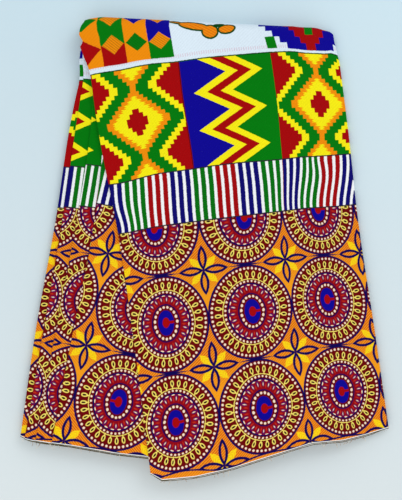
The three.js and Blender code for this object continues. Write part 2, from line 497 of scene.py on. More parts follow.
def band_slip(x, y):
    at_middle, per_mm = FAN_SLIP
    slip = smooth(share_between(y, FAN_SLIP_Y)) * (at_middle + per_mm * x)
    slip = slip + EVEN_SLIP * smooth(share_between(y, EVEN_SLIP_Y))
    slip = slip + TURN_SLIP * np.maximum(0.0, y - TURN_SLIP_Y)
    beside = smooth(share_between(x, SIDE_SLIP_X)) * fade(share_between(y, SIDE_SLIP_END_Y))
    return slip + SIDE_SLIP * beside + pulled(x, y, PULLS_W)


def front_print(x, y):
    at_middle, per_x, per_y = FRONT_U
    past_line = np.maximum(0.0, x - SIDE_SQUEEZE_X + SIDE_SQUEEZE_SLANT * y)
    along = at_middle + per_x * x + per_y * y + SIDE_SQUEEZE * past_line
    at_middle, per_x, per_y = FRONT_V
    twist = FRONT_V_TWIST * np.where(y < 0, 1.0, np.where(x < 0, 0.0, 0.5))
    v = at_middle + per_x * x + per_y * y + twist * x * y + FRONT_V_BEND * y * y
    low = smooth(share_between(x, LEFT_LOWERED_X)) * smooth(share_between(y, LEFT_LOWERED_Y))
    v = v + LEFT_LOWERED * low * fade(share_between(y, LEFT_LOWERED_END_Y))
    v = v + pulled(x, y, PULLS_V)
    return along + pulled(x, y, PULLS_U), v, along + band_slip(x, y)


middle_print = [round(float(value)) for value in front_print(0.0, 0.0)]
print("u, v and w in the middle of the front panel:", middle_print)

# %% Where the print falls on the strips
# The top strip's print runs from a flower at its lower left corner, and is turned a little.
FLOWER_LINE_U = 648.0
TOP_STRIP_CORNER = (-169.0, -238.0)
TOP_STRIP_V = 6.0
TOP_STRIP_SCALE = 1.0213
TOP_STRIP_TILT = 0.204
TOP_STRIP_GRAIN = 0.979
# For the other strips that show: u and w at the fold, and v at each y.
STRIP_U = {5: 1275.0, 3: 1870.0, 1: 2476.0}
STRIP_W = {5: 685.0, 3: 667.0, 1: 709.0}
STRIP_SCALE = 1.04
STRIP_Y = (-239.0, 55.6, 110.0, 229.0, 306.0)
STRIP_V = (0.0, 308.0, 374.0, 514.0, 580.0)
STRIP_TILT = 0.16
STRIP_TILT_REACH = 40.0


def top_strip_print(x, y):
    dx = x - TOP_STRIP_CORNER[0]
    dy = y - TOP_STRIP_CORNER[1]
    up = dx * TOP_STRIP_TILT + dy * TOP_STRIP_GRAIN
    u = FLOWER_LINE_U - (dx * TOP_STRIP_GRAIN - dy * TOP_STRIP_TILT)
    return u, TOP_STRIP_V + TOP_STRIP_SCALE * up, u


def strip_print(level, x, y, t):
    aside = x - line_x(LEFT_LINE[level], t)
    at_fold = y + STRIP_TILT * STRIP_TILT_REACH * np.tanh(aside / STRIP_TILT_REACH)
    v = np.interp(at_fold, STRIP_Y, STRIP_V)
    return STRIP_U[level] - STRIP_SCALE * aside, v, STRIP_W[level] + STRIP_SCALE * aside


def mixed(first, second, share):
    return tuple(a + (b - a) * share for a, b in zip(first, second))


def print_place(level, x, y, t):
    left = line_x(LEFT_LINE[level], t)
    inward = x - left
    if level == FRONT_LEVEL:
        return front_print(x, y)
    if level == TUCKED_LEVEL:
        u, v, w = front_print(left, y)
        return u - inward, v, w - inward
    if level == TOP_STRIP_LEVEL:
        right = line_x("front_right", t)
        slip = np.array(front_print(right, y)) - np.array(top_strip_print(right, y))
        share = smooth(share_between(x, (knee(level, t), right)))
        return tuple(np.array(top_strip_print(x, y)) + slip * share)
    if level % 2 == 1:
        return strip_print(level, x, y, t)
    u, v, w = print_place(level + 1, left, y, t)
    if level == 0:
        return u + inward, v, w + inward
    right = line_x("stack_right", t)
    share = np.clip(share_between(x, (left, right)), 0.0, 1.0)
    return mixed((u, v, w), strip_print(level - 1, right, y, t), share)


for level in (9, 7, 5, 3, 1):
    x = float(line_x(LEFT_LINE[level], 0.5))
    place = [round(float(value)) for value in print_place(level, x, 30.0, 0.5)]
    print("level", level, "print at its left fold:", place)

# %% [markdown]
# ## The sheet of cloth
# Every column is swept from the finished edge of the upper half, over the turn, and back along
# the lower half. A Solidify modifier would swell the tight folds, so both faces are made here,
# each half the thickness away from the middle of the cloth, and they meet along the cut edges.

# %% The rows of the sheet
UPPER_ROWS = 90
LOWER_ROWS = 22
# Rows stand closer together near both ends of a half.
ROW_EASE = 0.05
TURN_STEPS = 12
TURN_ANGLES = np.linspace(0.0, math.pi, TURN_STEPS + 1)[1:-1]
# Between faces that meet at more than this angle, the shading has an edge.
SHARP_ANGLE = math.radians(50.0)


def eased_rows(count):
    share = np.linspace(0.0, 1.0, count + 1)
    return share - ROW_EASE * np.sin(2 * math.pi * share)


# The halves in the order of the sweep: each row's share of the way from its edge to the turn,
# and whether it is the upper half.
HALVES = ((eased_rows(UPPER_ROWS), True), (eased_rows(LOWER_ROWS)[::-1], False))


def half_hem(column, is_upper):
    return column_hem(column) + (0.0 if is_upper else BACK_HEM_LIFT)


def half_of_column(column, t, is_upper, face):
    level = column["level"]
    x = column_x(column, t)
    hem = half_hem(column, is_upper)
    y = hem + t * (turn_y(column_x(column, 1.0)) - hem)
    move = face * CLOTH_THICKNESS / 2
    up = 1 if is_upper else -1

    def height(at_level):
        layer = LEVELS + at_level if is_upper else LEVELS - 1 - at_level
        return lay_on(flat_height(layer, x, y, t), x, y)

    here = height(level)
    if "fold_to" not in column:
        return x, y, here + up * column["facing"] * move
    other = height(column["fold_to"])
    starts_up = 1 if level > column["fold_to"] else -1
    reach = np.abs(here - other) / 2 + starts_up * column["facing"] * move
    x = x + column["outward"] * reach * math.sin(column["angle"])
    z = (here + other) / 2 + up * starts_up * reach * math.cos(column["angle"])
    return x, y, z


print("rows of the upper and the lower half:", [len(t) for t, _ in HALVES])


# %% One column of the sheet
def sweep_column(column, face):
    upper, lower = [half_of_column(column, t, is_upper, face) for t, is_upper in HALVES]
    radius = (upper[2][-1] - lower[2][0]) / 2
    centre = (upper[2][-1] + lower[2][0]) / 2
    over_x = np.full(TURN_ANGLES.shape, upper[0][-1])
    over_y = upper[1][-1] + radius * np.sin(TURN_ANGLES)
    turn = (over_x, over_y, centre + radius * np.cos(TURN_ANGLES))
    return np.concatenate([np.stack(part, axis=1) for part in (upper, turn, lower)])


def print_on_column(column):
    parts = []
    heights = []
    for t, is_upper in HALVES:
        _, y, z = half_of_column(column, t, is_upper, 0)
        u, v, w = print_place(column["level"], column_x(column, t), y, t)
        parts.append(np.stack([u, v, w, y - half_hem(column, is_upper)], axis=1))
        heights.append(z)
    radius = (heights[0][-1] - heights[1][0]) / 2
    over = radius * np.minimum(TURN_ANGLES, math.pi - TURN_ANGLES)
    turn = np.repeat(parts[0][-1:], len(over), axis=0)
    turn[:, 1] += over
    turn[:, 3] += over
    return np.concatenate([parts[0], turn, parts[1]])


def join_fold_prints(prints):
    steps = [i for i, column in enumerate(section) if "fold_to" in column]
    for i in steps:
        if "fold_to" in section[i - 1]:
            continue
        before = prints[i - 1]
        after = prints[i + FOLD_STEPS - 1]
        for step in range(1, FOLD_STEPS):
            prints[i + step - 1] = before + (after - before) * step / FOLD_STEPS


print("one column has", len(sweep_column(section[0], 1)), "points")


# %% The whole sheet
def cloth_faces(count, rows):
    across = np.arange(count)
    beside = (across + 1) % count
    quads = []
    for row in range(rows - 1):
        low = row * count
        high = low + count
        quads.append(np.stack([across + low, beside + low, beside + high, across + high], axis=1))
    i = np.arange(count // 2 - 1)
    facing = count - 1 - i
    last = (rows - 1) * count
    quads.append(np.stack([i, facing, facing - 1, i + 1], axis=1))
    quads.append(np.stack([i, i + 1, facing - 1, facing], axis=1) + last)
    return np.concatenate(quads)


def mesh_from(name, points, faces):
    mesh = bpy.data.meshes.new(name)
    mesh.from_pydata(points.tolist(), [], faces.tolist())
    mesh.validate()
    mesh.update()
    piece = bpy.data.objects.new(name, mesh)
    bpy.context.scene.collection.objects.link(piece)
    return piece


def make_cloth():
    outer = [sweep_column(column, 1) for column in section]
    inner = [sweep_column(column, -1) for column in section]
    loop = outer + inner[::-1]
    points = (draw_ends(np.stack(loop, axis=1).reshape(-1, 3)) - MIDDLE) * MM
    rows = loop[0].shape[0]
    piece = mesh_from("kente_cloth", points, cloth_faces(len(loop), rows))
    prints = [print_on_column(column) for column in section]
    join_fold_prints(prints)
    placed = np.stack(prints + prints[::-1], axis=1).reshape(-1, 4) * MM
    add_print_maps(piece.data, placed)
    piece.data.shade_smooth()
    piece.data.set_sharp_from_angle(angle=SHARP_ANGLE)
    return piece


def add_print_maps(mesh, placed):
    corners = np.zeros(len(mesh.loops), int)
    mesh.loops.foreach_get("vertex_index", corners)
    for name, first, second in (("print", 0, 1), ("bands", 2, 3)):
        layer = mesh.uv_layers.new(name=name)
        pairs = placed[corners][:, (first, second)]
        layer.data.foreach_set("uv", pairs.astype(np.float32).ravel())


cloth = make_cloth()
cloth_triangles = sum(len(face.vertices) - 2 for face in cloth.data.polygons)
print("the cloth has", cloth_triangles, "triangles")

# %% [markdown]
# ## Arithmetic in a node tree
# A printed cotton like this could be painted as an image, but a pattern that follows rules stays
# sharp at any size when nodes compute it. Writing each Math node by hand is long, so a Reading is
# one number in a tree, and sums and products of readings add the nodes.

# %% Arithmetic in a node tree
SOFT_EDGE = 0.55


class Reading:
    def __init__(self, tree, socket):
        self.tree = tree
        self.socket = socket

    def __add__(self, other):
        return worked("ADD", self, other)

    def __sub__(self, other):
        return worked("SUBTRACT", self, other)

    def __mul__(self, other):
        return worked("MULTIPLY", self, other)

    def __truediv__(self, other):
        return worked("DIVIDE", self, other)


def connect(tree, value, socket):
    if isinstance(value, Reading):
        value = value.socket
    if isinstance(value, bpy.types.NodeSocket):
        tree.links.new(value, socket)
    else:
        socket.default_value = value


def worked(operation, *values, clamp=False):
    tree = next(value.tree for value in values if isinstance(value, Reading))
    node = tree.nodes.new("ShaderNodeMath")
    node.operation = operation
    node.use_clamp = clamp
    for value, socket in zip(values, node.inputs):
        connect(tree, value, socket)
    return Reading(tree, node.outputs[0])


# %% Masks, repeats and waves
def size_of(value):
    return worked("ABSOLUTE", value)


def both(*masks):
    result = masks[0]
    for mask in masks[1:]:
        result = result * mask
    return result


def either(*masks):
    result = masks[0]
    for mask in masks[1:]:
        result = worked("MAXIMUM", result, mask)
    return result


def below(value, edge, soft=SOFT_EDGE):
    if isinstance(edge, Reading):
        return worked("MULTIPLY_ADD", edge - value, 1 / soft, 0.5, clamp=True)
    return worked("MULTIPLY_ADD", value, -1 / soft, edge / soft + 0.5, clamp=True)


def above(value, edge, soft=SOFT_EDGE):
    return worked("SUBTRACT", 1.0, below(value, edge, soft))


def between(value, low, high, soft=SOFT_EDGE):
    return below(size_of(value - (low + high) / 2), (high - low) / 2, soft)


def repeated(value, pitch, start):
    return worked("WRAP", value - start, pitch / 2, -pitch / 2)


def waves(value, pitch):
    return worked("SINE", value * (2 * math.pi / pitch))


def hatched(value, pitch, start, soft):
    return above(waves(value, pitch), start, soft)


def stepped(value, step):
    return worked("SNAP", value, step) + step / 2


def lens_width(place, half_width):
    return worked("MULTIPLY_ADD", place * place, -half_width, half_width)


# %% Colours and groups of nodes
def linear(colour):
    light = Color([part / 255 for part in colour]).from_srgb_to_scene_linear()
    return (*light, 1.0)


def painted(tree, under, over, mask):
    node = tree.nodes.new("ShaderNodeMix")
    node.data_type = "RGBA"
    connect(tree, mask, node.inputs["Factor"])
    for value, socket in ((under, node.inputs[6]), (over, node.inputs[7])):
        if isinstance(value, tuple):
            socket.default_value = linear(value)
        else:
            connect(tree, value, socket)
    return Reading(tree, node.outputs[2])


def start_group(name, numbers, colours=()):
    tree = bpy.data.node_groups.new(name, "ShaderNodeTree")
    for label in numbers:
        tree.interface.new_socket(label, in_out="INPUT", socket_type="NodeSocketFloat")
    for label in colours:
        tree.interface.new_socket(label, in_out="INPUT", socket_type="NodeSocketColor")
    tree.interface.new_socket("Colour", in_out="OUTPUT", socket_type="NodeSocketColor")
    source = tree.nodes.new("NodeGroupInput")
    return tree, [Reading(tree, source.outputs[label]) for label in (*numbers, *colours)]


def end_group(tree, colour):
    sink = tree.nodes.new("NodeGroupOutput")
    tree.links.new(colour.socket, sink.inputs["Colour"])
    print(tree.name, "has", len(tree.nodes), "nodes")
    return tree


def use_group(tree, group, *values):
    node = tree.nodes.new("ShaderNodeGroup")
    node.node_tree = group
    for value, socket in zip(values, node.inputs):
        connect(tree, value, socket)
    return Reading(tree, node.outputs["Colour"])


# %% [markdown]
# ## The colours of the print
# The inks are dark red, navy, deep blue, green, orange, two yellows and cream on bleached white
# cotton. They are kept as ordinary screen values and turned into linear light where they are used.

# %% The colours of the print
WHITE = (251, 253, 255)
# The white of the top band, tinted blue as painted bluish light from the back.
BLUE_LIT_TOP_WHITE = (228, 243, 255)
CREAM = (255, 230, 204)
RED = (168, 4, 8)
BLUE = (12, 4, 150)
GREEN = (0, 124, 12)
DEEP_GREEN = (0, 70, 14)
YELLOW = (255, 242, 20)
ORANGE = (250, 146, 8)
STRIPE_NAVY = (10, 6, 112)
INK_NAVY = (13, 2, 82)
DARK_RED = (108, 2, 6)
BRIGHT_RED = (144, 4, 22)
GROUND_ORANGE = (250, 160, 26)
HATCH_ORANGE = (206, 66, 22)
LOOP_YELLOW = (255, 234, 110)
LEAF_YELLOW = (255, 222, 20)
EDGE_DARK = (36, 30, 44)
FAINT_PINK = (222, 150, 170)
LOOP_DARK = (26, 0, 2)
DASH_RED = (196, 44, 26)
# Dark olive painted shade along the cut edges, where the edge and the layer beneath lie in shadow.
SHADED_EDGE_OLIVE = (84, 78, 52)

# %% [markdown]
# ## The round medallion
# Rings of dots, loops and short dashes lie one inside the other, each a little taller than wide.
# The rings could be drawn as circles and stretched, but then the line widths would stretch too, so
# each ring is let out by the same few millimetres above and below. Beads around a ring come from
# the angle, wrapped once for each bead.

# %% The round medallion
MEDALLION_TALLER = 5.2
# Plain rings, from the outside in: inner radius, outer radius, colour.
RINGS = (
    (0.0, 54.6, INK_NAVY),
    (0.0, 52.4, DARK_RED),
    (36.0, 37.0, LOOP_YELLOW),
    (0.0, 31.2, INK_NAVY),
    (0.0, 29.2, BRIGHT_RED),
    (0.0, 18.2, INK_NAVY),
    (0.0, 16.7, DARK_RED),
)
# Beads around a ring: how many, the ring's radius, half width, half length, start, colour.
BEADS = (
    (62, 50.0, 1.4, 1.5, 0.0, CREAM),
    (32, 38.4, 0.6, 3.0, 0.0, LOOP_YELLOW),
    (32, 42.3, 2.2, 4.2, 0.0, LOOP_YELLOW),
    (32, 42.5, 1.05, 2.6, 0.0, LOOP_DARK),
    (44, 33.6, 1.25, 1.3, 0.0, CREAM),
    (22, 25.2, 1.7, 3.3, 0.0, STRIPE_NAVY),
    (22, 25.0, 0.95, 2.5, 0.0, BRIGHT_RED),
    (22, 24.4, 0.5, 1.9, 0.0, CREAM),
    (22, 22.6, 0.7, 2.4, 0.5, DASH_RED),
    (22, 28.8, 2.0, 0.7, 0.5, CREAM),
    (19, 14.2, 1.5, 1.6, 0.0, CREAM),
)
DISC_RADIUS = 10.2
CENTRE_RADIUS = 4.5
CENTRE_TALLER = 1.4
SLOT_HALF = 1.7
LEAST_DISTANCE = 0.1


def medallion_group():
    tree, (across, along, ground) = start_group("medallion", ("Across", "Along"), ("Ground",))
    distance = worked("SQRT", across * across + along * along)
    distance = worked("MAXIMUM", distance, LEAST_DISTANCE)
    upright = size_of(along) / distance
    radius = distance - upright * upright * upright * MEDALLION_TALLER
    angle = worked("ARCTAN2", along * radius, across * (radius + MEDALLION_TALLER))
    colour = ground
    for inner, outer, ink in RINGS:
        mask = between(radius, inner, outer) if inner > 0 else below(radius, outer)
        colour = painted(tree, colour, ink, mask)
    for count, ring, half_width, half_length, start, ink in BEADS:
        share = worked("WRAP", angle * (count / (2 * math.pi)) + start, 0.5, -0.5)
        aside = share * (2 * math.pi * ring / count / half_width)
        out = (radius - ring) / half_length
        mask = below(worked("SQRT", aside * aside + out * out), 1.0, SOFT_EDGE / half_width)
        colour = painted(tree, colour, ink, mask)
    colour = painted(tree, colour, BLUE, below(radius, DISC_RADIUS))
    slot = both(below(size_of(along), SLOT_HALF), above(across, 0.0), below(radius, DISC_RADIUS))
    lower = along / CENTRE_TALLER
    from_centre = worked("SQRT", across * across + lower * lower)
    centre = either(below(from_centre, CENTRE_RADIUS), slot)
    return end_group(tree, painted(tree, colour, RED, centre))


medallion = medallion_group()

# %% [markdown]
# ## The flower between the medallions
# Four long petals in navy outline point along the rows and columns, and four yellow leaves point
# between them. One petal is enough: the distances from the centre are made positive, and the
# larger of them is the way along the petal.

# %% The flower between the medallions
PETAL_HALF_LENGTH = 15.6
PETAL_HALF_WIDTH = 5.6
PETAL_LEAST_WIDTH = -2.0
PETAL_BLEED = 0.3
PETAL_LINE = 3.1
LEAF_CENTRE = 13.0
LEAF_HALF_LENGTH = 10.5
LEAF_HALF_WIDTH = 4.4
# The veins of a leaf: their pitch, where on its wave each line begins, and how softly.
VEINS = (3.6, 0.55, 0.8)
VEIN_SLANT = 1.2
VEIN_INK = 0.8
MIDRIB_HALF = 0.4


def flower_group():
    tree, (across, along, ground) = start_group("flower", ("Across", "Along"), ("Ground",))
    a = size_of(across)
    b = size_of(along)
    diagonal = (a + b) * math.sqrt(0.5)
    aside = size_of(a - b) * math.sqrt(0.5)
    leaf = lens_width((diagonal - LEAF_CENTRE) / LEAF_HALF_LENGTH, LEAF_HALF_WIDTH)
    veins = both(hatched(diagonal + aside * VEIN_SLANT, *VEINS), above(aside, MIDRIB_HALF))
    yellow = painted(tree, LEAF_YELLOW, GROUND_ORANGE, veins * VEIN_INK)
    colour = painted(tree, ground, yellow, below(aside, leaf))
    lengthwise = worked("MAXIMUM", a, b)
    sideways = worked("MINIMUM", a, b)
    width = lens_width((lengthwise - PETAL_HALF_LENGTH) / PETAL_HALF_LENGTH, PETAL_HALF_WIDTH)
    width = worked("MAXIMUM", width, PETAL_LEAST_WIDTH)
    petal = below(sideways, width + PETAL_BLEED)
    line = both(petal, above(sideways, width - PETAL_LINE))
    colour = painted(tree, colour, ground, petal)
    return end_group(tree, painted(tree, colour, INK_NAVY, line))


flower = flower_group()

# %% [markdown]
# ## The ground of medallions
# Medallions and flowers repeat every 108 mm along the cloth and every 120 mm across it, on orange
# with fine slanting lines that fade out below each flower. One tile could be a repeated picture,
# but wrapping u and v repeats the nodes' drawing just as well. A wavy line runs along the finished
# edge through the lowest flowers, and the edge itself is a narrow white selvedge.

# %% The ground of medallions
MEDALLION_PITCH_U = 108.0
MEDALLION_PITCH_V = 120.0
MEDALLION_START_U = 54.0
MEDALLION_START_V = 66.0
FLOWER_START_V = 6.0
# The fine lines: their pitch, where on its wave each line begins, and how softly.
GROUND_HATCH = (3.1, 0.1, 0.9)
HATCH_SLANT = 0.8
HATCH_INK = 0.9
HATCH_FADE_V = -14.0
HATCH_FADE_LENGTH = 40.0
JOINT_HALF_LENGTH = 24.0
JOINT_HALF_WIDTH = 1.1
WAVE_LINE_V = 4.2
WAVE_HEIGHT = 2.6
WAVE_LINE_HALF = 1.1


def ground_group():
    tree, (u, v) = start_group("ground of medallions", ("U", "V"))
    flower_u = repeated(u, MEDALLION_PITCH_U, 0.0)
    flower_v = repeated(v, MEDALLION_PITCH_V, FLOWER_START_V)
    hatch = hatched(u * HATCH_SLANT - v, *GROUND_HATCH) * HATCH_INK
    hatch = hatch * above(flower_v, HATCH_FADE_V, HATCH_FADE_LENGTH)
    bare = painted(tree, GROUND_ORANGE, HATCH_ORANGE, hatch)
    colour = use_group(tree, flower, flower_u, flower_v, bare)
    across = repeated(u, MEDALLION_PITCH_U, MEDALLION_START_U)
    along = repeated(v, MEDALLION_PITCH_V, MEDALLION_START_V)
    colour = use_group(tree, medallion, across, along, colour)
    joint = lens_width(across / JOINT_HALF_LENGTH, JOINT_HALF_WIDTH)
    colour = painted(tree, colour, INK_NAVY, below(size_of(flower_v), joint))
    wave = waves(u - MEDALLION_PITCH_U / 4, MEDALLION_PITCH_U) * WAVE_HEIGHT + WAVE_LINE_V
    colour = painted(tree, colour, bare, below(v, wave))
    line = below(size_of(v - wave), WAVE_LINE_HALF)
    return end_group(tree, painted(tree, colour, INK_NAVY, line))


ground = ground_group()

# %% [markdown]
# ## The band of stripes
# Three blue, three green and three red stripes follow each other on white, twenty-four to a block.
# Each stripe is a little ribbed, as a woven one would be, because the print imitates a strip cloth.

# %% The band of stripes
BLOCK_LENGTH = 240.0
BLOCK_START = -13.5
STRIPE_PITCH = 10.0
STRIPE_WIDTH = 6.2
STRIPE_MIDDLE = 2.45
STRIPES_OF_ONE_COLOUR = 3
# The ribs: their pitch, where on its wave each line begins, and how softly.
RIBS = (2.6, 0.2, 0.9)
RIB_SLANT = 0.4
GREEN_RIB_INK = 0.55
RIB_SHADE = 0.12


def stripes_group():
    tree, (w, v) = start_group("band of stripes", ("W", "V"))
    in_block = worked("WRAP", w - BLOCK_START, BLOCK_LENGTH, 0.0)
    in_stripe = repeated(in_block, STRIPE_PITCH, STRIPE_MIDDLE)
    run = STRIPE_PITCH * STRIPES_OF_ONE_COLOUR
    turn = worked("FLOOR", worked("WRAP", in_block + STRIPE_MIDDLE, 3 * run, 0.0) / run)
    ink = painted(tree, STRIPE_NAVY, GREEN, above(turn, 0.5))
    ink = painted(tree, ink, RED, above(turn, 1.5))
    ribs = hatched(v + in_block * RIB_SLANT, *RIBS)
    ink = painted(tree, ink, DEEP_GREEN, both(ribs, between(turn, 0.5, 1.5)) * GREEN_RIB_INK)
    ink = painted(tree, ink, EDGE_DARK, ribs * RIB_SHADE)
    stripe = below(size_of(in_stripe), STRIPE_WIDTH / 2)
    return end_group(tree, painted(tree, WHITE, ink, stripe))


stripes = stripes_group()

# %% [markdown]
# ## The blocks of diamonds and zigzags
# Above the stripes the print imitates woven strips. One block shows stepped diamonds, the next a
# zigzag of five colours. The steps come from rounding the height before it is measured, so every
# outline climbs by whole threads. The yellow heart of a diamond has a flecked edge.

# %% The blocks of diamonds and zigzags
BAND_MIDDLE_V = 443.7
DIAMOND_PITCH = 89.0
DIAMOND_AXIS = 60.6
DIAMOND_STEP = DIAMOND_PITCH / 18
DIAMOND_SLOPE = 0.985
# Colours from the outside in, each with the half width of its outline at the widest place.
GREEN_HALF = 61.0
DIAMOND_OUTLINES = ((71.5, YELLOW), (GREEN_HALF, GREEN), (43.5, ORANGE))
WAIST_HALF = 3.6
HEART_HALF = 34.0
HEART_SLOPE = 0.96
CROSS_HALF = 16.0
CROSS_SLOPE = 0.8
CROSS_STEP = 5.8
FLECK_PITCH = 2.3
FLECK_LENGTH = 1.4
COLUMN_BREAK = 121.5
ZIGZAG_PITCH = 48.3
ZIGZAG_START_V = 445.3
# Where each zigzag line has its left and right tips, from the column's left side.
ZIGZAG_LINES = ((14.5, 57.0, YELLOW), (31.0, 72.8, RED), (48.3, 89.8, YELLOW), (63.6, 104.0, GREEN))


def diamonds_group():
    tree, (in_block, v) = start_group("stepped diamonds", ("In block", "V"))
    aside = size_of(in_block - DIAMOND_AXIS)
    rise = size_of(repeated(v, DIAMOND_PITCH, BAND_MIDDLE_V))
    climb = stepped(rise, DIAMOND_STEP)
    outward = worked("MULTIPLY_ADD", climb, DIAMOND_SLOPE, aside)
    colour = RED
    for half, ink in DIAMOND_OUTLINES:
        colour = painted(tree, colour, ink, below(outward, half))
    waist = both(below(aside, WAIST_HALF), below(outward, GREEN_HALF))
    colour = painted(tree, colour, ORANGE, waist)
    heart_edge = waves(v, FLECK_PITCH) * FLECK_LENGTH + HEART_HALF
    heart = below(worked("MULTIPLY_ADD", climb, HEART_SLOPE, aside), heart_edge)
    colour = painted(tree, colour, YELLOW, heart)
    climb = stepped(rise, CROSS_STEP)
    cross = below(worked("MULTIPLY_ADD", climb, CROSS_SLOPE, aside), CROSS_HALF)
    return end_group(tree, painted(tree, colour, RED, cross))


def zigzag_group():
    tree, (in_column, v) = start_group("zigzag", ("In column", "V"))
    from_tip = size_of(repeated(v, ZIGZAG_PITCH, ZIGZAG_START_V))
    tip = worked("MULTIPLY_ADD", from_tip, -2 / ZIGZAG_PITCH, 1.0)
    colour = BLUE
    for left, right, ink in ZIGZAG_LINES:
        line = worked("MULTIPLY_ADD", tip, right - left, left)
        colour = painted(tree, colour, ink, above(in_column - line, 0.0))
    return end_group(tree, colour)


diamonds = diamonds_group()
zigzag = zigzag_group()

# %% [markdown]
# ## The top band of checks
# Next to the turned end, columns of small diamonds stand beside a white field with one large
# stepped diamond. A sprig of three orange leaves and a green bud fills the white field. It could
# be drawn as a curve, but a few stretched circles laid over each other give the same soft shapes.

# %% The columns of checks
CHECK_WIDTH = 30.0
CHECK_LINES = (-16.2, 13.8, 43.8, 73.8)
CHECK_ROW_V = 546.0
CHECK_ROW_PITCH = 35.5
CHECK_HALF_WIDTH = 13.6
CHECK_HALF_HEIGHT = 12.2
# The first column has one large red diamond: its middle, half width and half height.
LARGE_CHECK = (-5.0, 542.5, 18.6, 17.5)
CHECK_SOFT = 0.05
LARGE_CHECK_SOFT = 0.04
CHECK_HATCH = (3.9, 0.3, 1.0)
CHECK_HATCH_INK = 0.35
# For each column of checks: the colour below and above its diamonds, and of the diamonds.
CHECK_COLOURS = (
    (ORANGE, ORANGE, ORANGE),
    (RED, GREEN, ORANGE),
    (ORANGE, ORANGE, GREEN),
    (GREEN, BLUE, ORANGE),
)


def checks_colour(tree, w, v):
    beside = repeated(w, CHECK_WIDTH, CHECK_LINES[0] + CHECK_WIDTH / 2)
    rise = repeated(v, CHECK_ROW_PITCH, CHECK_ROW_V)
    size = size_of(beside) / CHECK_HALF_WIDTH + size_of(rise) / CHECK_HALF_HEIGHT
    low_end = CHECK_ROW_V - CHECK_ROW_PITCH / 2
    diamond = both(below(size, 1.0, CHECK_SOFT), above(v, low_end))
    upper = above(v, CHECK_ROW_V)
    hatch = hatched(w + v, *CHECK_HATCH) * CHECK_HATCH_INK
    colour = ORANGE
    for start, (low, high, inside) in zip(CHECK_LINES, CHECK_COLOURS):
        cell = painted(tree, low, high, upper)
        ink = painted(tree, inside, DEEP_GREEN, hatch)
        cell = painted(tree, cell, ink, diamond)
        colour = painted(tree, colour, cell, above(w, start))
    _, second, third, fourth = CHECK_LINES
    middle_u, middle_v, half_width, half_height = LARGE_CHECK
    size = size_of(w - middle_u) / half_width + size_of(v - middle_v) / half_height
    large = both(below(size, 1.0, LARGE_CHECK_SOFT), below(w, second))
    colour = painted(tree, colour, RED, large)
    next_row = both(diamond, above(v, low_end + CHECK_ROW_PITCH))
    colour = painted(tree, colour, GREEN, both(next_row, below(w, second)))
    return painted(tree, colour, BLUE, both(next_row, between(w, third, fourth)))


print("the checks stand in", len(CHECK_LINES), "columns", CHECK_WIDTH, "mm wide")

# %% The large diamond
# The large stepped diamond: the half widths of its lowest steps, and how far each next one goes.
BIG_DIAMOND_U = 286.0
BIG_DIAMOND_BASE_V = 517.5
BIG_STEP_V = 8.0
BIG_HALF = 33.5
BIG_STEP_OUT = 9.0
BIG_STEM_HALF = 6.8
BIG_HEART_START = 9.0
BIG_HEART_STEP_OUT = 7.0
BIG_SLOT_HALF = 5.8
BIG_SLOT_START = 19.0


def big_diamond(tree, colour, w, v):
    beside = size_of(w - BIG_DIAMOND_U)
    up = v - BIG_DIAMOND_BASE_V
    steps = worked("FLOOR", up / BIG_STEP_V)
    outline = both(below(beside, steps * BIG_STEP_OUT + BIG_HALF), above(up, 0.0))
    colour = painted(tree, colour, BLUE, outline)
    stem = both(below(beside, BIG_STEM_HALF), above(up, 0.0))
    heart = below(beside, steps * BIG_HEART_STEP_OUT + BIG_STEM_HALF)
    heart = both(heart, above(up, BIG_HEART_START))
    colour = painted(tree, colour, RED, either(stem, heart))
    slot = both(below(beside, BIG_SLOT_HALF), above(up, BIG_SLOT_START))
    return painted(tree, colour, GREEN, slot)


print("the large diamond begins", 2 * BIG_HALF, "mm wide")

# %% The sprig
# Stem and leaves of the sprig: middle w and v, slope angle, half length, half width.
SPRIG_LEAVES = (
    (112.0, 566.0, -0.4, 9.0, 0.6),
    (134.5, 556.5, -0.32, 18.5, 4.4),
    (154.0, 546.5, 0.1, 9.0, 7.6),
    (175.5, 548.5, 0.12, 9.5, 5.0),
)
SPRIG_OUTLINE = 2.3
SPRIG_VEINS = (3.9, 0.2, 1.0)
SPRIG_VEIN_SLANT = 0.7
SPRIG_VEIN_INK = 0.5
# The green bud: middle w and v, slope angle, half length, half width.
SPRIG_BUD = (165.5, 554.5, 0.1, 8.0, 3.2)


def leaf_shapes(w, v, leaves, grow):
    shapes = []
    for middle_w, middle_v, angle, half_length, half_width in leaves:
        dx = w - middle_w
        dy = v - middle_v
        place = dx * math.cos(angle) + dy * math.sin(angle)
        aside = dy * math.cos(angle) - dx * math.sin(angle)
        place = place / (half_length + grow)
        aside = aside / (half_width + grow)
        out = worked("SQRT", place * place + aside * aside)
        shapes.append(below(out, 1.0, SOFT_EDGE / (half_width + grow)))
    return either(*shapes)


print("the sprig has", len(SPRIG_LEAVES), "parts and a bud")

# %% The whole top band
TOP_REPEAT = 480.0
TOP_BAND_START = -62.0
CHECKS_START = -40.0
CHECKS_START_V = 520.5
CHECKS_END = 103.7
# A small green block: its left and right sides, its lowest and highest v, and its lean.
GREEN_BLOCK = (224.5, 238.0, 518.5, 534.0)
GREEN_BLOCK_LEAN = 0.1
# Faint dashes along the lower edge of the white field.
DASHES = (3.0, 0.1, 0.8)
DASHES_V = (518.5, 523.0)
DASH_INK = 0.35


